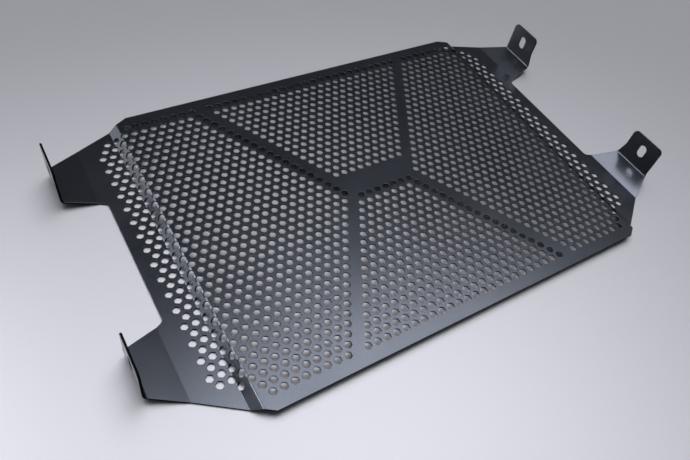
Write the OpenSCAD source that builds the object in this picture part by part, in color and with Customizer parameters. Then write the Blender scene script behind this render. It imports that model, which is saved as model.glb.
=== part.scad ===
// Radiator guard for a motorcycle: one sheet, punched, folded, and carried by four slotted ears.
// It lies on its two side flanges. X runs across the guard, Y up its face and Z towards
// the ears, which reach back to the radiator when the guard is fitted.

/* [Sheet] */
// Thickness of the sheet
sheet = 1.5; // [1:0.1:3]
// Inside radius of every fold
fold_r = 1.5; // [0.5:0.1:4]

/* [Holes] */
// Distance between the centres of neighbouring holes
pitch = 7.5; // [6:0.1:10]
// Diameter of a hole, of the same area as a hexagon 5 mm across its flats
hole_d = 5.25; // [3:0.05:5.5]
// Least distance from a hole's centre to the upper edges
edge_upper = 7.5; // [5:0.5:12]
// Least distance from a hole's centre to the lower edges
edge_lower = 11; // [5:0.5:15]
// Least distance from a hole's centre to the outer edge of a flange
edge_outer = 8; // [5:0.5:12]

/* [Panel] */
// Width of the raised panel, from fold to fold
panel_w = 326; // [280:1:380]
// Height of the raised panel
panel_h = 263.5; // [240:0.5:300]
// How far the panel stands above the flanges
step_drop = 4.8; // [2:0.1:8]
// Width of the sloping step beside the panel
step_run = 6.4; // [5:0.1:12]
// Corner cut at the panel's upper corners, across and down
upper_corner = [8.5, 4.5]; // [2:0.5:15]
// Corner cut at the panel's lower corners, across and up
lower_corner = [6.5, 4.5]; // [2:0.5:15]

/* [Braces] */
// Clear width of a slanted brace
brace_w = 7; // [4:0.5:12]
// Clear height of the bar that joins the braces
bar_h = 20; // [12:0.5:40]
// Hole pitches from the middle to the point where two braces meet
hub_pitches = 3.5; // [1.5:1:8.5]

/* [Flanges] */
// Width of a flange, from the foot of the step to its edge between the tabs
flange_w = 23.1; // [12:0.1:40]
// Fall of the upper edge across the sloping step
upper_step_fall = 2; // [0:0.5:8]
// Rise of the lower edge across the sloping step
lower_step_rise = 4.5; // [0:0.5:12]
// Radius in the corners of the notch between the tabs
notch_r = 4; // [1:0.5:10]

/* [Tabs] */
// From the notch edge out to the fold where a tab starts to rise
tab_fold = 5; // [3:0.5:12]
// From that fold to the outer face of the ear
tab_run = 23.5; // [12:0.5:40]
// Height of a tab above its flange where it meets the ear
tab_rise = 5.2; // [1:0.1:12]
// Upper tab at its fold: how much further up than the ear
upper_tab_up = 14.5; // [0:0.5:20]
// Upper tab at its fold: how much further down than the ear
upper_tab_down = 9; // [4:0.5:16]
// Lower tab at its fold: how much further up than the ear
lower_tab_up = 11.5; // [4:0.5:16]
// Lower tab at its fold: how much further down than the ear
lower_tab_down = 13; // [0:0.5:20]
// Slope of a tab's edge beside the notch, from its fold to the notch corner
notch_slope = 2.5; // [0:0.5:5]

/* [Ears] */
// Width of an ear
ear_w = 30; // [20:0.5:40]
// Height of an ear's top above the flange's upper face
ear_h = 33.3; // [28:0.1:50]
// Radius of an ear's top corners
ear_r = 4; // [1:0.5:8]
// How much wider an ear is at its foot, on the side of the notch
ear_flare = 2.5; // [0:0.5:6]
// Height of that flare above the panel
flare_h = 12; // [4:0.5:18]
// Middle of the upper ears, above the panel's middle
upper_ear_y = 84.5; // [70:0.5:95]
// Middle of the lower ears, below the panel's middle
lower_ear_y = 75; // [65:0.5:85]

/* [Slots] */
// Width of a mounting slot
slot_w = 7; // [5:0.1:10]
// Length of a mounting slot, end to end
slot_l = 12; // [11:0.5:18]
// Height of a slot's middle above the flange's upper face
slot_z = 20.5; // [16:0.5:24]

/* [Hidden] */
coat = [0.2, 0.2, 0.22];
fold_steps = 4;                // flats in a fold
corner_steps = 8;              // flats in a rounded corner
relief = 0.02;                 // the punched fields stand back by this from the plain bands round them
seam = 0.5;                    // from a fold to the punched field beside it
over = 5;                      // how far a cut or a blank runs past the sheet
half_h = panel_h / 2;
panel_z = sheet + step_drop;   // upper face of the panel; the flanges lie on z = 0
step_x = panel_w / 2 + step_run;
notch_x = step_x + flange_w;
tab_x = notch_x + tab_fold;
half_w = tab_x + tab_run;
past_ear = half_w + over;
foot_z = sheet + tab_rise;     // where an ear starts
upper_ear = [upper_ear_y - ear_w / 2, upper_ear_y + ear_w / 2];
lower_ear = [-lower_ear_y - ear_w / 2, -lower_ear_y + ear_w / 2];

// Paths with rounded corners
function unit(v) = v / norm(v);
function cross2(a, b) = a.x * b.y - a.y * b.x;
function reversed(list) = [for (i = [len(list) - 1 : -1 : 0]) list[i]];
function mirrored(list) = [for (q = reversed(list)) [-q.x, q.y]];

// Arc round the corner b between a and c, moved to the left of the path by side.
function rounded(a, b, c, r, side = 0, steps = corner_steps) =
    let (u = unit(b - a), w = unit(c - b),
         turn = atan2(cross2(u, w), u * w), s = sign(turn),
         left = [-u.y, u.x],
         centre = b - u * r * tan(abs(turn) / 2) + left * s * r,
         out = -left * s)
    [for (i = [0 : steps]) let (t = turn * i / steps)
        centre + (r - s * side) * [out.x * cos(t) - out.y * sin(t), out.x * sin(t) + out.y * cos(t)]];

// One face of a folded path, at the distance side to its left.
function face_of(path, r, side) =
    let (m = len(path) - 1,
         first = unit(path[1] - path[0]), last = unit(path[m] - path[m - 1]))
    concat([path[0] + side * [-first.y, first.x]],
           [for (i = [1 : m - 1]) each rounded(path[i - 1], path[i], path[i + 1], r, side, fold_steps)],
           [path[m] + side * [-last.y, last.x]]);

// The folds: the middle of the sheet, X against Z
bend_r = fold_r + sheet / 2;
ear_x = half_w - sheet / 2;
half_path = [
    [panel_w / 2, sheet / 2 + step_drop],
    [step_x, sheet / 2],
    [tab_x, sheet / 2],
    [ear_x, sheet / 2 + tab_rise],
    [ear_x, sheet + ear_h + over]
];
fold_path = concat(mirrored(half_path), half_path);

module folded_sheet() {
    rotate([90, 0, 0]) linear_extrude(panel_h + 2 * over, center = true)
        polygon(concat(face_of(fold_path, bend_r, sheet / 2), reversed(face_of(fold_path, bend_r, -sheet / 2))));
}

// The outline in plan: the right half, from the top round to the bottom
upper_edge = [
    [panel_w / 2 - upper_corner.x, half_h],
    [panel_w / 2, half_h - upper_corner.y],
    [step_x, half_h - upper_corner.y - upper_step_fall],
    [tab_x, upper_ear[1] + upper_tab_up],
    [half_w, upper_ear[1]]
];
lower_edge = [
    [half_w, lower_ear[0]],
    [tab_x, lower_ear[0] - lower_tab_down],
    [step_x, -half_h + lower_corner.y + lower_step_rise],
    [panel_w / 2, -half_h + lower_corner.y],
    [panel_w / 2 - lower_corner.x, -half_h]
];
upper_tab_in = [tab_x, upper_ear[0] - upper_tab_down];
lower_tab_in = [tab_x, lower_ear[1] + lower_tab_up];
notch_top = [notch_x, upper_tab_in.y - notch_slope];
notch_bottom = [notch_x, lower_tab_in.y + notch_slope];
half_outline = concat(
    upper_edge,
    [[past_ear, upper_ear[1]], [past_ear, upper_ear[0] - ear_flare],
     [half_w - sheet, upper_ear[0] - ear_flare], upper_tab_in],
    rounded(upper_tab_in, notch_top, notch_bottom, notch_r),
    rounded(notch_top, notch_bottom, lower_tab_in, notch_r),
    [lower_tab_in, [half_w - sheet, lower_ear[1] + ear_flare],
     [past_ear, lower_ear[1] + ear_flare], [past_ear, lower_ear[0]]],
    lower_edge
);

module plan() { polygon(concat(half_outline, mirrored(half_outline))); }

// An ear seen from the side, Y against Z. toward is the side that faces the notch.
module ear_outline(ear, toward) {
    top = sheet + ear_h;
    flare_z = panel_z + flare_h;
    down = toward < 0 ? ear_flare : 0;
    up = toward > 0 ? ear_flare : 0;
    polygon(concat(
        [[ear[1] + up, 0], [ear[1] + up, foot_z], [ear[1], flare_z]],
        rounded([ear[1], flare_z], [ear[1], top], [ear[0], top], ear_r),
        rounded([ear[1], top], [ear[0], top], [ear[0], flare_z], ear_r),
        [[ear[0], flare_z], [ear[0] - down, foot_z], [ear[0] - down, 0]]
    ));
}

// Blocks that hold the ears and their folds
module ear_blocks() {
    block = 2 * (sheet + fold_r);
    for (s = [-1, 1]) translate([s * (half_w - block / 2 + relief), 0, 0]) rotate([90, 0, 90])
        linear_extrude(block + 4 * relief, center = true) {
            ear_outline(upper_ear, -1);
            ear_outline(lower_ear, 1);
        }
}

module blank() {
    intersection() {
        folded_sheet();
        union() {
            translate([0, 0, -over]) linear_extrude(over + max(panel_z, foot_z) + seam) plan();
            ear_blocks();
        }
    }
}

// The holes are punched in the flat sheet, before it is folded. Across the step, a place on
// the flat sheet moves in by what the slope and the folds take up.
slope = atan(step_drop / step_run);
fold_saving = 2 * bend_r * tan(slope / 2) - bend_r * slope * PI / 180;
step_top = panel_w / 2;
step_foot = step_top + norm([step_run, step_drop]) - fold_saving;
stretch = step_foot - step_top - step_run - fold_saving;
function in_plan(along) =
    along < step_top ? along
    : along > step_foot ? along - stretch
    : step_top + (along - step_top) * cos(slope);
function middle_z(along) =
    along < step_top ? panel_z - sheet / 2
    : along > step_foot ? sheet / 2
    : panel_z - sheet / 2 - (along - step_top) * sin(slope);
function ramp(d) = max(0, min(1, (1 + d / hole_r) / 2));
function lean(along) = slope * ramp(along - step_top) * ramp(step_foot - along);

// The hole pattern, on the flat sheet
row = pitch * sqrt(3) / 2;
hole_r = hole_d / 2;
slant = 2 / sqrt(3);           // length along a row for each length square to a brace
hub = [hub_pitches * pitch, -row / 2];
bar_y = row / 2;
function brace_x(y) = hub.x + abs(y - hub.y) / sqrt(3);
function to_segment(q, a, b) =
    let (t = max(0, min(1, ((q - a) * (b - a)) / ((b - a) * (b - a))))) norm(q - a - t * (b - a));
function to_line(q, line) = min([for (i = [1 : len(line) - 1]) to_segment(q, line[i - 1], line[i])]);
function beside_braces(q) = abs(q.x) > brace_x(q.y);
function clear_of_braces(q) =
    abs(abs(q.x) - brace_x(q.y)) >= (brace_w / 2 + pitch / 3) * slant
    && (beside_braces(q) || abs(q.y - bar_y) >= bar_h / 2 + pitch / 3);
function on_sheet(q) =
    let (p = [in_plan(abs(q.x)), q.y])
    p.x <= notch_x - edge_outer
    && p.y <= half_h - edge_upper && p.y >= edge_lower - half_h
    && to_line(p, upper_edge) >= edge_upper && to_line(p, lower_edge) >= edge_lower;
rows = ceil(half_h / row);
columns = ceil(half_w / pitch);
holes = [for (k = [-rows : rows], n = [-columns : columns])
    let (q = [(n + (k % 2 == 0 ? 0 : 0.5)) * pitch, (k + 0.5) * row])
    if (on_sheet(q) && clear_of_braces(q)) q];

module punches(list) { for (q = list) translate(q) circle(d = hole_d, $fn = 24); }

// The panel's four punched fields, each within the plain bands round it
field_x = panel_w / 2 - fold_r - seam;
field_y = half_h - (min(edge_upper, edge_lower) - hole_r) / 2;
band = brace_w / 4;            // from a brace's middle to the fields on its two sides
bar_band = bar_h / 2 - brace_w / 4;

module side_field() {
    polygon([
        [hub.x + band * slant, hub.y],
        [brace_x(-field_y) + band * slant, -field_y],
        [field_x, -field_y],
        [field_x, field_y],
        [brace_x(field_y) + band * slant, field_y]
    ]);
}
module middle_field(y0, y1) {
    x0 = brace_x(y0) - band * slant;
    x1 = brace_x(y1) - band * slant;
    polygon([[x0, y0], [x1, y1], [-x1, y1], [-x0, y0]]);
}
module right_field() { intersection() { side_field(); plan(); } }
module left_field() { mirror([1, 0]) right_field(); }
module upper_field() { middle_field(bar_y + bar_band, field_y); }
module lower_field() { middle_field(-field_y, bar_y - bar_band); }
module punched(list) {
    translate([0, 0, panel_z - sheet + relief]) linear_extrude(sheet - 2 * relief)
        difference() {
            children();
            punches(list);
        }
}
right_holes = [for (q = holes) if (beside_braces(q) && q.x > 0 && q.x < field_x + hole_r) q];
left_holes = [for (q = holes) if (beside_braces(q) && q.x < 0 && -q.x < field_x + hole_r) q];
upper_holes = [for (q = holes) if (!beside_braces(q) && q.y > bar_y) q];
lower_holes = [for (q = holes) if (!beside_braces(q) && q.y < bar_y) q];

// Holes outside the fields: columns that lean with the folds of the step, and those of the flanges
fold_columns = [for (n = [0 : 2 * columns]) let (along = n * pitch / 2)
    if (along > field_x - hole_r && along < step_foot + hole_r) along];
module fold_punches() {
    same_column = pitch / 8;
    for (s = [-1, 1], along = fold_columns)
        translate([s * in_plan(along), 0, middle_z(along)]) rotate([0, s * lean(along), 0])
            linear_extrude(4 * sheet, center = true)
                punches([for (q = holes) if (abs(s * q.x - along) < same_column) [0, q.y]]);
}
module flange_punches() {
    for (s = [-1, 1]) translate([-s * stretch, 0, -over]) linear_extrude(2 * over)
        punches([for (q = holes) if (s * q.x >= step_foot + hole_r) q]);
}

module slot(y) {
    translate([0, y, sheet + slot_z]) rotate([0, 90, 0]) {
        for (s = [-1, 1]) translate([s * (slot_l - slot_w) / 2, 0, 0])
            cylinder(d = slot_w, h = 2 * past_ear, center = true, $fn = 48);
        cube([slot_l - slot_w, slot_w, 2 * past_ear], center = true);
    }
}

// The sheet with all its folds, less the four fields
module frame() {
    difference() {
        blank();
        linear_extrude(panel_z + over) {
            right_field();
            left_field();
            upper_field();
            lower_field();
        }
        fold_punches();
        flange_punches();
        slot(upper_ear_y);
        slot(-lower_ear_y);
    }
}

module guard_sheet() {
    color(coat) union() {
        frame();
        punched(right_holes) right_field();
        punched(left_holes) left_field();
        punched(upper_holes) upper_field();
        punched(lower_holes) lower_field();
    }
}

guard_sheet();
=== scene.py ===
"""A motorcycle radiator guard: one coated sheet, punched with hexagons, folded, and laid on a pale floor."""

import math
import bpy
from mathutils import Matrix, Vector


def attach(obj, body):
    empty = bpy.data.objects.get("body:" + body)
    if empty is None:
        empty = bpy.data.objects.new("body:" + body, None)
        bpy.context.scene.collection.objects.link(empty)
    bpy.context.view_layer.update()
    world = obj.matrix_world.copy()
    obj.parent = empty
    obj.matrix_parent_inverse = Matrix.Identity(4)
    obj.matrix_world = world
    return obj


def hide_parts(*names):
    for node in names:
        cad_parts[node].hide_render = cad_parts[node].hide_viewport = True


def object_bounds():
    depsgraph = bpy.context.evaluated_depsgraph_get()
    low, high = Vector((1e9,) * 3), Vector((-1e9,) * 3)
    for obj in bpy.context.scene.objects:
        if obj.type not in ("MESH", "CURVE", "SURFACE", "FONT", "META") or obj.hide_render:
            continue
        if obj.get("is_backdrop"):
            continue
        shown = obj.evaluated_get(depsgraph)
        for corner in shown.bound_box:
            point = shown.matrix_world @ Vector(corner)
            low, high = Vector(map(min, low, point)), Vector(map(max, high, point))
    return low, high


bl_info = {
    "name": "Motorcycle Radiator Guard",
    "version": (1, 0, 0),
    "blender": (4, 5, 0),
    "location": "View3D > Sidebar > Guard",
    "description": "Makes a folded and punched radiator guard and the stage that it lies on",
    "category": "Object",
}

from bisect import bisect_right

import bpy
from bpy.props import FloatProperty, FloatVectorProperty, PointerProperty
from mathutils import Matrix, Vector
from mathutils.geometry import delaunay_2d_cdt
from mathutils.kdtree import KDTree

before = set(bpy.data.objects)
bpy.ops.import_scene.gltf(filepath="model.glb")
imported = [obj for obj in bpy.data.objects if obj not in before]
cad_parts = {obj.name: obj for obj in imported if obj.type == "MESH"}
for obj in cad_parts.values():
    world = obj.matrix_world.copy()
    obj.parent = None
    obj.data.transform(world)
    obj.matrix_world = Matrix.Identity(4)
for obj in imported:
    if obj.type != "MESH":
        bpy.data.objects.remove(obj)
cad_low, cad_high = (Vector(corner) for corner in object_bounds())
cad_size = cad_high - cad_low

NODE = "guard_sheet"
MM = 0.001
# The sheet's two material slots
FACE, CUT_EDGE = 0, 1
SENSOR_WIDTH_MM = 36.0
NEAREST_SEEN = 10 * MM


def length(name, description, default, **more):
    """A size in metres, with its default given in millimetres."""
    return FloatProperty(name=name, description=description, default=default * MM, unit="LENGTH", **more)


def corner_cut(name, description, across, along):
    """A corner's cut in metres, with its defaults given in millimetres."""
    return FloatVectorProperty(
        name=name, description=description, default=(across * MM, along * MM), size=2, unit="LENGTH"
    )


def colour(name, description, default):
    """A colour in linear values."""
    return FloatVectorProperty(
        name=name, description=description, default=default, size=3, subtype="COLOR", min=0.0, max=1.0
    )


def place(name, description, default):
    """A point in metres, or the direction that a light comes from."""
    return FloatVectorProperty(
        name=name, description=description, default=default, size=3, subtype="TRANSLATION"
    )


def angle(name, description, degrees):
    """An angle in radians, with its default given in degrees."""
    return FloatProperty(
        name=name, description=description, default=math.radians(degrees), subtype="ANGLE"
    )


class GuardSheetSettings(bpy.types.PropertyGroup):
    """Sizes of the sheet, its folds and its flanges."""

    thickness: length("Thickness", "Thickness of the sheet", 1.5, min=0.0005)
    fold_radius: length("Fold radius", "Inside radius of every fold", 1.5, min=0.0)
    rim: length("Rounded rim", "How far the coat rounds off each cut edge", 0.1, min=0.0)
    panel_width: length("Panel width", "Width of the raised panel, from fold to fold", 326.0)
    step_drop: length("Step drop", "How far the panel stands above the flanges", 4.8)
    step_run: length("Step run", "Width of the sloping step beside the panel", 6.4)
    upper_corner: corner_cut(
        "Upper corners", "Cut at the panel's upper corners, across and down", 8.5, 4.5
    )
    lower_corner: corner_cut(
        "Lower corners", "Cut at the panel's lower corners, across and up", 6.5, 4.5
    )
    upper_step_fall: length("Upper step fall", "Fall of the upper edge across the sloping step", 2.0)
    lower_step_rise: length("Lower step rise", "Rise of the lower edge across the sloping step", 4.5)
    flange_width: length("Flange width", "From the foot of the step to the edge between the tabs", 23.1)
    notch_radius: length("Notch radius", "Radius in the corners of the notch between the tabs", 4.0)
    notch_slope: length("Notch slope", "Slope of a tab's edge beside the notch", 2.5)


class GuardEarSettings(bpy.types.PropertyGroup):
    """Sizes of the tabs, the ears and their slots."""

    tab_fold: length("Tab fold", "From the notch edge out to the fold where a tab starts to rise", 5.0)
    tab_rise: length("Tab rise", "Height of a tab above its flange where it meets the ear", 5.2)
    upper_tab_up: length("Upper tab, up", "How much further up the upper tab reaches than its ear", 14.5)
    upper_tab_down: length(
        "Upper tab, down", "How much further down the upper tab reaches than its ear", 9.0
    )
    lower_tab_up: length("Lower tab, up", "How much further up the lower tab reaches than its ear", 11.5)
    lower_tab_down: length(
        "Lower tab, down", "How much further down the lower tab reaches than its ear", 13.0
    )
    width: length("Ear width", "Width of an ear", 30.0)
    radius: length("Ear radius", "Radius of an ear's top corners", 4.0)
    flare: length("Ear flare", "How much wider an ear is at its foot, on the side of the notch", 2.5)
    flare_height: length("Flare height", "Height of that flare above the panel", 12.0)
    upper_y: length("Upper ears", "Middle of the upper ears, above the panel's middle", 84.5)
    lower_y: length("Lower ears", "Middle of the lower ears, below the panel's middle", 75.0)
    slot_width: length("Slot width", "Width of a mounting slot", 7.0)
    slot_length: length("Slot length", "Length of a mounting slot, end to end", 12.0)
    slot_height: length("Slot height", "Height of a slot's middle above the flange's upper face", 20.5)


class GuardHoleSettings(bpy.types.PropertyGroup):
    """The pattern of hexagonal holes and the plain braces that it leaves."""

    pitch: length("Pitch", "Distance between the centres of neighbouring holes", 7.5)
    flats: length("Hole size", "Width of a hexagonal hole across its flats", 5.0)
    corner: length("Corner cut", "How far a hexagon's corners are cut back along its sides", 0.3)
    edge_upper: length("Upper edge", "Least distance from a hole's centre to the upper edges", 7.5)
    edge_lower: length("Lower edge", "Least distance from a hole's centre to the lower edges", 11.0)
    edge_outer: length("Outer edge", "Least distance from a hole's centre to a flange's outer edge", 8.0)
    brace_width: length("Brace width", "Clear width of a slanted brace", 7.0)
    bar_height: length("Bar height", "Clear height of the bar that joins the braces", 20.0)
    hub_pitches: FloatProperty(
        name="Hub",
        description="Hole pitches from the middle to the point where two braces meet",
        default=3.5,
    )


class GuardCoatSettings(bpy.types.PropertyGroup):
    """The satin powder coat."""

    dark: colour("Coat", "Colour of the coat", (0.0065, 0.0072, 0.0095))
    worn: colour("Rubbed coat", "Colour of the coat where handling has rubbed it", (0.0085, 0.0095, 0.0125))
    # Rim colour: partly the thinner coat over the edges, partly a painted highlight that makes every rim
    # paler.
    rim: colour("Rim", "Colour of the coat where it thins out over an edge", (0.012, 0.013, 0.016))
    # Cut-edge colour: partly the dull coat, partly painted shade that darkens the hole walls and outer
    # edges.
    cut: colour(
        "Cut edge", "Colour of the dull coat inside the holes and on the cut edges", (0.003, 0.0033, 0.004)
    )
    sheen: colour("Sheen", "Tint of what the coat reflects", (0.80, 0.86, 1.0))
    roughness_low: FloatProperty(name="Smooth", description="Roughness where rubbed", default=0.20)
    roughness_high: FloatProperty(name="Dull", description="Roughness elsewhere", default=0.26)
    patches: FloatProperty(
        name="Rubbed patches", description="How close the rubbed patches lie, per metre", default=14.0
    )
    patch_detail: FloatProperty(
        name="Patch detail", description="How many times their shape is broken up more finely", default=4.0
    )
    patch_breakup: FloatProperty(
        name="Patch breakup", description="How strong each finer shape is beside the last", default=0.6
    )
    patch_start: FloatProperty(
        name="Patch start", description="Level of the patches' noise where the rubbing starts", default=0.35
    )
    patch_full: FloatProperty(
        name="Patch full", description="Level of that noise where the rubbing is strongest", default=0.7
    )
    grain: length("Grain", "Size of the coat's fine grain", 0.45)
    grain_depth: length("Grain depth", "Depth of that grain", 0.01)
    grain_strength: FloatProperty(
        name="Grain strength", description="How much of that depth the light shows", default=0.6
    )
    gloss: FloatProperty(name="Gloss", description="How strongly the faces reflect", default=1.0)
    cut_gloss: FloatProperty(
        name="Cut edge gloss", description="How strongly the cut edges reflect", default=0.0
    )
    cut_roughness: FloatProperty(
        name="Cut edge roughness", description="Roughness of the cut edges", default=0.6
    )


class GuardStageSettings(bpy.types.PropertyGroup):
    """The floor, the surroundings, the lamps and the camera."""

    # The floor colour carries a painted pool of light: palest at one point, fading to a darker colour away
    # from it.
    floor: colour("Floor", "Colour of the floor where it is palest", (0.55, 0.54, 0.57))
    floor_beyond_painted_light: colour("Far floor", "Colour of the floor where it is darkest", (0.33, 0.32, 0.34))
    floor_painted_light_centre: place("Palest floor", "Point on the floor where it is palest", (-0.2, -0.1, 0.0))
    floor_painted_light_core: length("Fade start", "Distance along Y from that point to where the fade starts", 40.0)
    floor_painted_light_reach: length("Fade end", "Distance along Y from that point to where the fade ends", 400.0)
    floor_stretch: FloatProperty(
        name="Fade stretch", description="How fast the floor fades along X beside along Y", default=0.6
    )
    floor_roughness: FloatProperty(name="Floor roughness", description="Roughness of the floor", default=0.4)
    floor_gloss: FloatProperty(
        name="Floor gloss", description="How strongly the floor reflects", default=0.8
    )
    floor_size: length("Floor size", "Side of the floor", 16000.0)
    wall: colour("Studio wall", "Colour of the surroundings at eye level", (0.22, 0.225, 0.24))
    ceiling: colour("Studio ceiling", "Colour of the surroundings higher up", (0.05, 0.0525, 0.058))
    wall_top: FloatProperty(
        name="Wall top", description="Sine of the angle above the horizon where the wall ends", default=0.2
    )
    lamp: colour("Lamps", "Colour of the lamps' light", (0.93, 0.95, 1.0))
    sun_strength: FloatProperty(
        name="Main light", description="Strength of the light that casts the shadows", default=3.05
    )
    sun_from: place("Main light direction", "Where the main light comes from", (0.22, 0.36, 1.0))
    sun_spread: angle("Main light spread", "How wide the main light is, from side to side", 48.0)
    key_strength: FloatProperty(
        name="Key light", description="Strength of the light that the panel mirrors", default=3.1
    )
    key_from: place("Key light direction", "Where the key light comes from", (0.287, -0.048, 0.957))
    key_spread: angle("Key light spread", "How wide the key light is, from side to side", 53.0)
    side_power: FloatProperty(
        name="Side softbox", description="Power of the softbox on the left", default=5.2
    )
    side_place: place("Side softbox place", "Where that softbox stands", (-1.0, 0.72, 0.46))
    side_size: length("Side softbox size", "Side of that softbox", 1000.0)
    strip_power: FloatProperty(
        name="Strip softbox", description="Power of the long softbox that the folds mirror", default=9.0
    )
    strip_place: place("Strip softbox place", "Where that softbox hangs", (-0.59, 0.43, 0.96))
    strip_length: length("Strip softbox length", "Length of that softbox", 800.0)
    strip_width: length("Strip softbox width", "Width of that softbox", 200.0)
    strip_roll: angle("Strip softbox roll", "Turn of that softbox about its line of sight", 42.5)
    camera_place: place("Camera", "Where the camera stands", (-0.24212, -0.24422, 0.35532))
    camera_target: place("Target", "Point on the panel at the picture's middle", (-0.0521, -0.0339, 0.0063))
    camera_roll: angle("Roll", "Turn of the camera about its line of sight", 14.3)
    lens: FloatProperty(name="Lens", description="Focal length on a sensor 36 mm wide", default=32.48)


def turned(vector, turn):
    """A flat vector turned anticlockwise."""
    c, s = math.cos(turn), math.sin(turn)
    return Vector((c * vector.x - s * vector.y, s * vector.x + c * vector.y))


def rounded(before, corner, after, radius, steps):
    """The arc that rounds a corner of a path: points, each with how far the path has turned there."""
    into, out = (corner - before).normalized(), (after - corner).normalized()
    whole = math.atan2(into.x * out.y - into.y * out.x, into.dot(out))
    left = Vector((-into.y, into.x)) * math.copysign(radius, whole)
    start = corner - into * radius * math.tan(abs(whole) / 2)
    turns = [whole * step / steps for step in range(steps + 1)]
    return [(start + left - turned(left, turn), turn) for turn in turns]


def corner_arc(before, corner, after, radius, steps=8):
    """Only the points of a rounded corner."""
    return [point for point, _ in rounded(Vector(before), Vector(corner), Vector(after), radius, steps)]


class FoldedSection:
    """The middle of the sheet in section, from the centre line out to an ear's top.

    A distance along it is one on the flat sheet, before it is folded.
    """

    FOLD_STEPS = 6

    def __init__(self, sheet, ear):
        middle = sheet.thickness / 2
        self.panel_x = sheet.panel_width / 2
        self.step_x = self.panel_x + sheet.step_run
        self.notch_x = self.step_x + sheet.flange_width
        self.tab_x = self.notch_x + ear.tab_fold
        ear_x = cad_size.x / 2 - middle
        path = [
            Vector((0.0, middle + sheet.step_drop)),
            Vector((self.panel_x, middle + sheet.step_drop)),
            Vector((self.step_x, middle)),
            Vector((self.tab_x, middle)),
            Vector((ear_x, middle + ear.tab_rise)),
            Vector((ear_x, cad_size.z)),
        ]
        self.points, self.normals = [path[0]], [Vector((0.0, 1.0))]
        for before, corner, after in zip(path, path[1:], path[2:]):
            into = (corner - before).normalized()
            normal = Vector((-into.y, into.x))
            radius = sheet.fold_radius + middle
            for point, turn in rounded(before, corner, after, radius, self.FOLD_STEPS):
                self.points.append(point)
                self.normals.append(turned(normal, turn))
        self.points.append(path[-1])
        self.normals.append(self.normals[-1])
        self.along = [0.0]
        for last, point in zip(self.points, self.points[1:]):
            self.along.append(self.along[-1] + (point - last).length)
        self.ear_foot = self.along[-2]

    def up_ear(self, height):
        """Distance along the sheet to a height on the ear."""
        return self.ear_foot + height - self.points[-2].y

    def unfolded(self, x):
        """Distance along the sheet to a place in plan, which is at most at the ear's foot."""
        last = bisect_right([point.x for point in self.points[:-2]], x) - 1
        start, end = self.points[last].x, self.points[last + 1].x
        share = min((x - start) / (end - start), 1.0)
        return self.along[last] + share * (self.along[last + 1] - self.along[last])

    def at(self, distance):
        """The point and the normal at a distance along the sheet."""
        last = min(max(bisect_right(self.along, distance) - 1, 0), len(self.along) - 2)
        share = (distance - self.along[last]) / (self.along[last + 1] - self.along[last])
        point = self.points[last].lerp(self.points[last + 1], share)
        normal = self.normals[last].lerp(self.normals[last + 1], share).normalized()
        return point, normal

    def folded(self, flat, height):
        """A point of the flat sheet, folded, at a height above the sheet's middle; and the normal there."""
        point, normal = self.at(abs(flat.x))
        side = math.copysign(1.0, flat.x)
        normal = Vector((side * normal.x, 0.0, normal.y))
        return Vector((side * point.x, flat.y, point.y)) + normal * height, normal


def mirrored(points):
    """The points on the other half of the sheet, in reversed order."""
    return [Vector((-point.x, point.y)) for point in reversed(points)]


def plan_edges(sheet, ear, section):
    """In plan, the right half's upper edge from the panel to the ear, and its lower edge back again."""
    half_height = cad_size.y / 2
    ear_x = section.points[-1].x
    upper_top = ear.upper_y + ear.width / 2
    lower_bottom = -ear.lower_y - ear.width / 2
    upper = [
        Vector((section.panel_x - sheet.upper_corner[0], half_height)),
        Vector((section.panel_x, half_height - sheet.upper_corner[1])),
        Vector((section.step_x, half_height - sheet.upper_corner[1] - sheet.upper_step_fall)),
        Vector((section.tab_x, upper_top + ear.upper_tab_up)),
        Vector((ear_x, upper_top)),
    ]
    lower = [
        Vector((ear_x, lower_bottom)),
        Vector((section.tab_x, lower_bottom - ear.lower_tab_down)),
        Vector((section.step_x, -half_height + sheet.lower_corner[1] + sheet.lower_step_rise)),
        Vector((section.panel_x, -half_height + sheet.lower_corner[1])),
        Vector((section.panel_x - sheet.lower_corner[0], -half_height)),
    ]
    return upper, lower


def blank_outline(sheet, ear, section):
    """The outline of the sheet laid flat, anticlockwise."""
    upper, lower = (
        [Vector((section.unfolded(point.x), point.y)) for point in edge]
        for edge in plan_edges(sheet, ear, section)
    )
    half_ear = ear.width / 2
    top = section.up_ear(cad_size.z)
    flare = section.up_ear(sheet.thickness + sheet.step_drop + ear.flare_height)
    foot = section.ear_foot
    tab, notch = section.unfolded(section.tab_x), section.unfolded(section.notch_x)
    upper_in, upper_out = ear.upper_y - half_ear, ear.upper_y + half_ear
    lower_in, lower_out = -ear.lower_y + half_ear, -ear.lower_y - half_ear
    upper_tab = Vector((tab, upper_in - ear.upper_tab_down))
    lower_tab = Vector((tab, lower_in + ear.lower_tab_up))
    notch_top = Vector((notch, upper_tab.y - sheet.notch_slope))
    notch_bottom = Vector((notch, lower_tab.y + sheet.notch_slope))
    right = [
        *upper,
        *corner_arc((foot, upper_out), (top, upper_out), (top, upper_in), ear.radius),
        *corner_arc((top, upper_out), (top, upper_in), (foot, upper_in), ear.radius),
        Vector((flare, upper_in)),
        Vector((foot, upper_in - ear.flare)),
        upper_tab,
        *corner_arc(upper_tab, notch_top, notch_bottom, sheet.notch_radius),
        *corner_arc(notch_top, notch_bottom, lower_tab, sheet.notch_radius),
        lower_tab,
        Vector((foot, lower_in + ear.flare)),
        Vector((flare, lower_in)),
        *corner_arc((foot, lower_in), (top, lower_in), (top, lower_out), ear.radius),
        *corner_arc((top, lower_in), (top, lower_out), (foot, lower_out), ear.radius),
        *lower,
    ]
    return list(reversed(right + mirrored(right)))


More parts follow.
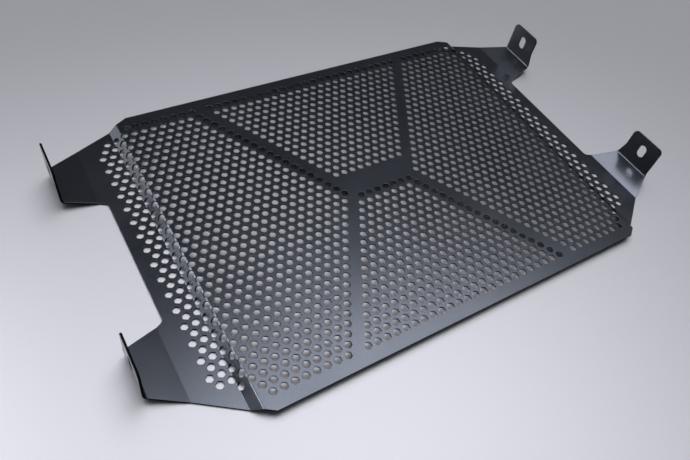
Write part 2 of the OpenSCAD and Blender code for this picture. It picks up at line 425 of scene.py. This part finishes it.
def distance_to_path(point, path):
    """Shortest distance from a flat point to a path of straight lines."""
    best = math.inf
    for start, end in zip(path, path[1:]):
        line = end - start
        share = max(0.0, min(1.0, (point - start).dot(line) / line.length_squared))
        best = min(best, (point - start - line * share).length)
    return best


def hole_sites(sheet, ear, holes, section):
    """The middles of the hexagons on the flat sheet: a grid, less the plain edges and braces."""
    upper, lower = plan_edges(sheet, ear, section)
    half_height = cad_size.y / 2
    row = holes.pitch * math.sqrt(3) / 2
    hub_x, hub_y, bar_y = holes.hub_pitches * holes.pitch, -row / 2, row / 2
    hole_room = holes.pitch / 3
    brace_clear = (holes.brace_width / 2 + hole_room) * 2 / math.sqrt(3)
    bar_clear = holes.bar_height / 2 + hole_room
    rows = math.ceil(half_height / row)
    columns = math.ceil(cad_size.x / 2 / holes.pitch)
    sites = []
    for row_number in range(-rows, rows + 1):
        y = (row_number + 0.5) * row
        shift = 0.0 if row_number % 2 == 0 else 0.5
        brace_x = hub_x + abs(y - hub_y) / math.sqrt(3)
        for column in range(-columns, columns + 1):
            x = (column + shift) * holes.pitch
            in_plan = Vector((section.at(abs(x))[0].x, y))
            inside_edges = (
                in_plan.x <= section.notch_x - holes.edge_outer
                and holes.edge_lower - half_height <= y <= half_height - holes.edge_upper
                and distance_to_path(in_plan, upper) >= holes.edge_upper
                and distance_to_path(in_plan, lower) >= holes.edge_lower
            )
            beside_brace = abs(abs(x) - brace_x) >= brace_clear
            beside_bar = abs(x) > brace_x or abs(y - bar_y) >= bar_clear
            if inside_edges and beside_brace and beside_bar:
                sites.append(Vector((x, y)))
    return sites


def hexagon(site, flats, cut):
    """A hexagonal hole, clockwise, with two corners in line with Y and each corner cut back a little."""
    radius = flats / math.sqrt(3)
    corners = [turned(Vector((0.0, radius)), -math.radians(60 * number)) for number in range(6)]
    points = []
    for number, corner in enumerate(corners):
        for neighbour in (corners[number - 1], corners[(number + 1) % 6]):
            points.append(site + corner + (neighbour - corner).normalized() * cut)
    return points


def slot_outline(middle, width, slot_length, steps=12):
    """A slot with round ends that runs along the sheet, clockwise."""
    reach = Vector(((slot_length - width) / 2, 0.0))
    points = []
    for end in (1, -1):
        for step in range(steps + 1):
            arm = turned(Vector((0.0, width / 2)) * end, -math.pi * step / steps)
            points.append(middle + reach * end + arm)
    return points


def moved_inwards(loop, distance):
    """A loop moved to its left, which is into the sheet, by a distance."""
    moved = []
    for index, point in enumerate(loop):
        into = (point - loop[index - 1]).normalized()
        out = (loop[(index + 1) % len(loop)] - point).normalized()
        left_in, left_out = Vector((-into.y, into.x)), Vector((-out.y, out.x))
        moved.append(point + (left_in + left_out) * distance / (1.0 + left_in.dot(left_out)))
    return moved


class FlatSheet:
    """The punched sheet laid flat and cut into triangles, with a fine ring round each edge for its rim."""

    def __init__(self, sheet, ear, holes):
        self.section = FoldedSection(sheet, ear)
        self.sites = hole_sites(sheet, ear, holes, self.section)
        self.hole_half = holes.flats / 2
        self.hole_tip = holes.flats / math.sqrt(3) - holes.corner / 2
        self.slot_half = ear.slot_width / 2
        self.slot_reach = (ear.slot_length - ear.slot_width) / 2
        slot_along = self.section.up_ear(sheet.thickness + ear.slot_height)
        self.slots = [
            Vector((side * slot_along, y)) for side in (-1, 1) for y in (ear.upper_y, -ear.lower_y)
        ]
        self.outline = blank_outline(sheet, ear, self.section)
        self.corners, self.lines = [], []
        edges = [self.outline]
        edges += [hexagon(site, holes.flats, holes.corner) for site in self.sites]
        edges += [slot_outline(slot, ear.slot_width, ear.slot_length) for slot in self.slots]
        for loop in edges:
            self.add_loop(loop)
        self.edge_lines = len(self.lines)
        for loop in edges:
            self.add_loop(moved_inwards(loop, sheet.rim))
        self.add_fold_lines()
        self.cut_up()

    def add_loop(self, loop):
        """Adds a closed line."""
        first = len(self.corners)
        self.corners += loop
        self.lines += [(first + step, first + (step + 1) % len(loop)) for step in range(len(loop))]

    def add_fold_lines(self):
        """Adds lines along each fold, so that no triangle bridges one."""
        reach = cad_size.y
        for along in self.section.along[1:-1]:
            for side in (-1, 1):
                self.lines.append((len(self.corners), len(self.corners) + 1))
                self.corners += [Vector((side * along, -reach)), Vector((side * along, reach))]

    def cut_up(self):
        """Cuts the sheet into triangles between all the lines, and finds which corners are on an edge."""
        tolerance = 1e-7
        inside_the_lines = 1
        points, lines, triangles, _, line_origins, _ = delaunay_2d_cdt(
            self.corners, self.lines, [], inside_the_lines, tolerance
        )
        nearest_site = KDTree(len(self.sites))
        for number, site in enumerate(self.sites):
            nearest_site.insert((*site, 0.0), number)
        nearest_site.balance()
        self.points = points
        self.triangles = [
            corners for corners in triangles
            if self.is_sheet(sum((points[c] for c in corners), Vector((0.0, 0.0))) / 3, nearest_site)
        ]
        self.on_edge = set()
        for line, origins in zip(lines, line_origins):
            if any(origin < self.edge_lines for origin in origins):
                self.on_edge.update(line)

    def is_sheet(self, point, nearest_site):
        """Whether there is metal at a point that lies well inside a triangle."""
        from_site = point - self.sites[nearest_site.find((*point, 0.0))[1]]
        across = [turned(from_site, math.radians(60 * side)) for side in range(3)]
        if all(abs(arm.x) < self.hole_half and abs(arm.y) < self.hole_tip for arm in across):
            return False
        for slot in self.slots:
            from_slot = point - slot
            from_slot.x -= max(-self.slot_reach, min(self.slot_reach, from_slot.x))
            if from_slot.length < self.slot_half:
                return False
        return self.inside_outline(point)

    def inside_outline(self, point):
        """Whether a point lies inside the flat sheet's outline."""
        inside = False
        last = self.outline[-1]
        for corner in self.outline:
            if (corner.y > point.y) != (last.y > point.y):
                crossing = corner.x + (point.y - corner.y) * (last.x - corner.x) / (last.y - corner.y)
                inside ^= point.x < crossing
            last = corner
        return inside


def open_sides(triangles):
    """The sides that only one triangle has, each with the sheet on its left."""
    sides = {}
    for triangle in triangles:
        for start, end in zip(triangle, triangle[1:] + triangle[:1]):
            sides[start, end] = (end, start) not in sides
            if not sides[start, end]:
                sides[end, start] = False
    return [side for side, is_open in sides.items() if is_open]


def ways_out(points, walls):
    """For each corner on an edge of the flat sheet, the direction out of the sheet."""
    outwards = {}
    for start, end in walls:
        run = (points[end] - points[start]).normalized()
        for corner in (start, end):
            outwards[corner] = outwards.get(corner, Vector((0.0, 0.0))) + Vector((run.y, -run.x))
    return {corner: out.normalized() for corner, out in outwards.items()}


def folded_mesh(flat, sheet):
    """The flat sheet folded and given its thickness, with a rim round every cut edge."""
    used = sorted({corner for triangle in flat.triangles for corner in triangle})
    number = {corner: order for order, corner in enumerate(used)}
    count = len(used)
    walls = open_sides(flat.triangles)
    outwards = ways_out(flat.points, walls)
    tops, bottoms, ups, downs, outs, rims = [], [], [], [], [], []
    for corner in used:
        point = flat.points[corner]
        rim = corner in flat.on_edge
        height = sheet.thickness / 2 - (sheet.rim if rim else 0.0)
        top, normal = flat.section.folded(point, height)
        bottom, _ = flat.section.folded(point, -height)
        out = Vector((0.0, 0.0, 0.0))
        if corner in outwards:
            flat_out = outwards[corner]
            out = Vector((normal.z, 0.0, -normal.x)) * flat_out.x + Vector((0.0, 1.0, 0.0)) * flat_out.y
        tops.append(top)
        bottoms.append(bottom)
        ups.append((normal + out).normalized())
        downs.append((out - normal).normalized())
        outs.append(out)
        rims.append(1.0 if rim else 0.0)
    faces, corner_normals = [], []
    for triangle in flat.triangles:
        face = [number[corner] for corner in triangle]
        faces.append(face)
        corner_normals += [ups[corner] for corner in face]
    for triangle in flat.triangles:
        face = [number[corner] for corner in reversed(triangle)]
        faces.append([corner + count for corner in face])
        corner_normals += [downs[corner] for corner in face]
    for start, end in walls:
        a, b = number[start], number[end]
        faces.append([a, a + count, b + count, b])
        corner_normals += [outs[a], outs[a], outs[b], outs[b]]
    mesh = bpy.data.meshes.new("punched_sheet")
    mesh.from_pydata(tops + bottoms, [], faces)
    mesh.polygons.foreach_set("use_smooth", [True] * len(mesh.polygons))
    on_face = 2 * len(flat.triangles)
    mesh.polygons.foreach_set("material_index", [FACE] * on_face + [CUT_EDGE] * len(walls))
    rim = mesh.attributes.new("rim", "FLOAT", "POINT")
    rim.data.foreach_set("value", rims + rims)
    mesh.normals_split_custom_set(corner_normals)
    return mesh


def new_material(name):
    """A new material, with its shader, its nodes and its links."""
    material = bpy.data.materials.new(name)
    material.use_nodes = True
    nodes = material.node_tree.nodes
    return material, nodes["Principled BSDF"], nodes, material.node_tree.links


def colour_mix(nodes, **ends):
    """A mix of two colours, with a value for each end, A or B, that no link feeds."""
    mix = nodes.new("ShaderNodeMix")
    mix.data_type = "RGBA"
    for end, tint in ends.items():
        mix.inputs[end].default_value = (*tint, 1.0)
    return mix


def value_range(nodes, start, end, low=0.0, high=1.0):
    """A node that turns the values from start to end into those from low to high."""
    remap = nodes.new("ShaderNodeMapRange")
    remap.inputs["From Min"].default_value = start
    remap.inputs["From Max"].default_value = end
    remap.inputs["To Min"].default_value = low
    remap.inputs["To Max"].default_value = high
    return remap


def noise(nodes, links, where, scale, detail=2.0, roughness=0.5):
    """A noise texture laid out in the object's own coordinates."""
    texture = nodes.new("ShaderNodeTexNoise")
    texture.inputs["Scale"].default_value = scale
    texture.inputs["Detail"].default_value = detail
    texture.inputs["Roughness"].default_value = roughness
    links.new(where.outputs["Object"], texture.inputs["Vector"])
    return texture


def add_grain(coat, shader, nodes, links, where):
    """The coat's fine grain: a noise, which also gives the shader its bump."""
    grain = noise(nodes, links, where, 1.0 / coat.grain)
    bump = nodes.new("ShaderNodeBump")
    bump.inputs["Strength"].default_value = coat.grain_strength
    bump.inputs["Distance"].default_value = coat.grain_depth
    links.new(grain.outputs["Fac"], bump.inputs["Height"])
    links.new(bump.outputs["Normal"], shader.inputs["Normal"])
    return grain


def coat_material(coat):
    """Satin powder coat: a fine grain, soft rubbed patches, and on the rims a paler colour that is partly
    thinner coat and partly painted highlight.
    """
    material, shader, nodes, links = new_material("satin_powder_coat")
    where = nodes.new("ShaderNodeTexCoord")
    add_grain(coat, shader, nodes, links, where)
    patches = noise(nodes, links, where, coat.patches, coat.patch_detail, coat.patch_breakup)
    rubbed = value_range(nodes, coat.patch_start, coat.patch_full)
    roughness = value_range(nodes, 0.0, 1.0, coat.roughness_high, coat.roughness_low)
    body = colour_mix(nodes, A=coat.dark, B=coat.worn)
    rim = nodes.new("ShaderNodeAttribute")
    rim.attribute_name = "rim"
    # The rims' paler colour is partly thinner coat and partly a painted highlight.
    rim_coat_and_painted_highlight = colour_mix(nodes, B=coat.rim)
    shader.inputs["Specular IOR Level"].default_value = coat.gloss
    shader.inputs["Specular Tint"].default_value = (*coat.sheen, 1.0)
    links.new(patches.outputs["Fac"], rubbed.inputs["Value"])
    links.new(rubbed.outputs["Result"], body.inputs["Factor"])
    links.new(rubbed.outputs["Result"], roughness.inputs["Value"])
    links.new(roughness.outputs["Result"], shader.inputs["Roughness"])
    links.new(rim.outputs["Fac"], rim_coat_and_painted_highlight.inputs["Factor"])
    links.new(body.outputs["Result"], rim_coat_and_painted_highlight.inputs["A"])
    links.new(rim_coat_and_painted_highlight.outputs["Result"], shader.inputs["Base Color"])
    return material


def cut_edge_painted_shade_material(coat):
    """The same coat where it lies thin and dull on the cut edges, darker than the faces: partly dull coat,
    partly painted shade.
    """
    material, shader, nodes, links = new_material("cut_edge_coat_painted_shade")
    where = nodes.new("ShaderNodeTexCoord")
    grain = add_grain(coat, shader, nodes, links, where)
    # Partly painted shade: the walls get a darker colour than the faces.
    tone = colour_mix(nodes, A=coat.cut, B=coat.dark)
    shader.inputs["Specular IOR Level"].default_value = coat.cut_gloss
    shader.inputs["Roughness"].default_value = coat.cut_roughness
    links.new(grain.outputs["Fac"], tone.inputs["Factor"])
    links.new(tone.outputs["Result"], shader.inputs["Base Color"])
    return material


class GUARD_OT_make_sheet(bpy.types.Operator):
    """Punch, fold and coat the sheet"""

    bl_idname = "guard.make_sheet"
    bl_label = "Make the Punched Sheet"

    def execute(self, context):
        scene = context.scene
        sheet = scene.guard_sheet_settings
        flat = FlatSheet(sheet, scene.guard_ear_settings, scene.guard_hole_settings)
        mesh = folded_mesh(flat, sheet)
        for make in (coat_material, cut_edge_painted_shade_material):
            mesh.materials.append(make(scene.guard_coat_settings))
        piece = bpy.data.objects.new("punched_sheet", mesh)
        scene.collection.objects.link(piece)
        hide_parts(NODE)
        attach(piece, "root")
        return {"FINISHED"}


def aimed(name, data, start, target, roll=0.0):
    """A lamp or camera at a place, turned to look at another."""
    item = bpy.data.objects.new(name, data)
    sight = Vector(target) - Vector(start)
    turn = sight.to_track_quat("-Z", "Y").to_matrix() @ Matrix.Rotation(roll, 3, "Z")
    item.matrix_world = Matrix.Translation(start) @ turn.to_4x4()
    bpy.context.scene.collection.objects.link(item)
    return item


def broad_light(name, stage, start, strength, spread):
    """A light from one side of the studio, which falls alike on all of the guard."""
    lamp = bpy.data.lights.new(name, "SUN")
    lamp.energy, lamp.angle, lamp.color = strength, spread, stage.lamp
    return aimed(name, lamp, start, (0.0, 0.0, 0.0))


def softbox(name, stage, start, power, size, roll=0.0):
    """A softbox that the coat and the floor only mirror: it lights nothing that is dull."""
    lamp = bpy.data.lights.new(name, "AREA")
    lamp.energy, lamp.size, lamp.color = power, size, stage.lamp
    aimed(name, lamp, start, (0.0, 0.0, 0.0), roll).visible_diffuse = False
    return lamp


def floor_with_painted_light_material(stage):
    """A smooth, pale floor with a slight sheen, and a painted pool of light: its colour darkens softly all
    round its palest point.
    """
    material, shader, nodes, links = new_material("pale_floor_with_painted_light")
    where = nodes.new("ShaderNodeTexCoord")
    from_painted_light_centre, stretched, away = (nodes.new("ShaderNodeVectorMath") for _ in range(3))
    from_painted_light_centre.operation, stretched.operation, away.operation = "SUBTRACT", "MULTIPLY", "LENGTH"
    from_painted_light_centre.inputs[1].default_value = stage.floor_painted_light_centre
    stretched.inputs[1].default_value = (stage.floor_stretch, 1.0, 0.0)
    fade = value_range(nodes, stage.floor_painted_light_core, stage.floor_painted_light_reach)
    fade.interpolation_type = "SMOOTHSTEP"
    # Painted light: the pool's pale colour fades to the darker floor colour with distance from its centre.
    tone = colour_mix(nodes, A=stage.floor, B=stage.floor_beyond_painted_light)
    shader.inputs["Roughness"].default_value = stage.floor_roughness
    shader.inputs["Specular IOR Level"].default_value = stage.floor_gloss
    links.new(where.outputs["Object"], from_painted_light_centre.inputs[0])
    links.new(from_painted_light_centre.outputs["Vector"], stretched.inputs[0])
    links.new(stretched.outputs["Vector"], away.inputs[0])
    links.new(away.outputs["Value"], fade.inputs["Value"])
    links.new(fade.outputs["Result"], tone.inputs["Factor"])
    links.new(tone.outputs["Result"], shader.inputs["Base Color"])
    return material


def studio_world(stage):
    """A dim studio with a pale wall at eye level, which is seen and mirrored but gives no light."""
    world = bpy.data.worlds.new("studio")
    world.use_nodes = True
    nodes, links = world.node_tree.nodes, world.node_tree.links
    where = nodes.new("ShaderNodeTexCoord")
    split = nodes.new("ShaderNodeSeparateXYZ")
    wall = value_range(nodes, stage.wall_top, 0.0)
    wall.interpolation_type = "SMOOTHSTEP"
    ray = nodes.new("ShaderNodeLightPath")
    seen, seen_or_mirrored, pale = (nodes.new("ShaderNodeMath") for _ in range(3))
    seen.operation = seen_or_mirrored.operation = "MAXIMUM"
    pale.operation = "MULTIPLY"
    tone = colour_mix(nodes, A=stage.ceiling, B=stage.wall)
    links.new(where.outputs["Generated"], split.inputs["Vector"])
    links.new(split.outputs["Z"], wall.inputs["Value"])
    links.new(ray.outputs["Is Camera Ray"], seen.inputs[0])
    links.new(ray.outputs["Is Transmission Ray"], seen.inputs[1])
    links.new(seen.outputs["Value"], seen_or_mirrored.inputs[0])
    links.new(ray.outputs["Is Glossy Ray"], seen_or_mirrored.inputs[1])
    links.new(seen_or_mirrored.outputs["Value"], pale.inputs[0])
    links.new(wall.outputs["Result"], pale.inputs[1])
    links.new(pale.outputs["Value"], tone.inputs["Factor"])
    links.new(tone.outputs["Result"], nodes["Background"].inputs["Color"])
    return world


class GUARD_OT_make_stage(bpy.types.Operator):
    """Lay the pale floor, hang the lamps and set up the camera"""

    bl_idname = "guard.make_stage"
    bl_label = "Make the Stage"

    def execute(self, context):
        stage = context.scene.guard_stage_settings
        self.lay_floor(context, stage)
        self.hang_lamps(stage)
        self.set_up_camera(context, stage)
        context.scene.world = studio_world(stage)
        context.scene.view_settings.view_transform = "Standard"
        return {"FINISHED"}

    def hang_lamps(self, stage):
        main = broad_light("main_light", stage, stage.sun_from, stage.sun_strength, stage.sun_spread)
        main.visible_glossy = False
        key = broad_light("key_light", stage, stage.key_from, stage.key_strength, stage.key_spread)
        key.visible_diffuse = False
        softbox("side_softbox", stage, stage.side_place, stage.side_power, stage.side_size)
        strip = softbox(
            "strip_softbox",
            stage,
            stage.strip_place,
            stage.strip_power,
            stage.strip_length,
            stage.strip_roll,
        )
        strip.shape, strip.size_y = "RECTANGLE", stage.strip_width

    def set_up_camera(self, context, stage):
        lens = bpy.data.cameras.new("camera")
        lens.sensor_width, lens.lens, lens.clip_start = SENSOR_WIDTH_MM, stage.lens, NEAREST_SEEN
        context.scene.camera = aimed(
            "camera", lens, stage.camera_place, stage.camera_target, stage.camera_roll
        )

    def lay_floor(self, context, stage):
        half, low = stage.floor_size / 2, cad_low.z
        mesh = bpy.data.meshes.new("floor")
        corners = [(-half, -half, low), (half, -half, low), (half, half, low), (-half, half, low)]
        mesh.from_pydata(corners, [], [(0, 1, 2, 3)])
        mesh.materials.append(floor_with_painted_light_material(stage))
        floor = bpy.data.objects.new("floor", mesh)
        context.scene.collection.objects.link(floor)
        floor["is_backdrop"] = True


class GUARD_PT_panel(bpy.types.Panel):
    """Lists the guard's operators and sizes"""

    bl_idname = "GUARD_PT_panel"
    bl_label = "Radiator Guard"
    bl_space_type = "VIEW_3D"
    bl_region_type = "UI"
    bl_category = "Guard"

    def draw(self, context):
        for operator in OPERATORS:
            self.layout.operator(operator.bl_idname)
        for name, settings in SETTINGS.items():
            box = self.layout.box()
            box.label(text=settings.__doc__.rstrip("."))
            for prop in settings.__annotations__:
                box.prop(getattr(context.scene, name), prop)


SETTINGS = {
    "guard_sheet_settings": GuardSheetSettings,
    "guard_ear_settings": GuardEarSettings,
    "guard_hole_settings": GuardHoleSettings,
    "guard_coat_settings": GuardCoatSettings,
    "guard_stage_settings": GuardStageSettings,
}
OPERATORS = (GUARD_OT_make_sheet, GUARD_OT_make_stage)


def register():
    for cls in (*SETTINGS.values(), *OPERATORS, GUARD_PT_panel):
        bpy.utils.register_class(cls)
    for name, settings in SETTINGS.items():
        setattr(bpy.types.Scene, name, PointerProperty(type=settings))


def unregister():
    for name in SETTINGS:
        delattr(bpy.types.Scene, name)
    for cls in reversed((*SETTINGS.values(), *OPERATORS, GUARD_PT_panel)):
        bpy.utils.unregister_class(cls)


def main():
    register()
    bpy.ops.guard.make_sheet()
    bpy.ops.guard.make_stage()
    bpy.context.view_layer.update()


if __name__ == "__main__":
    main()
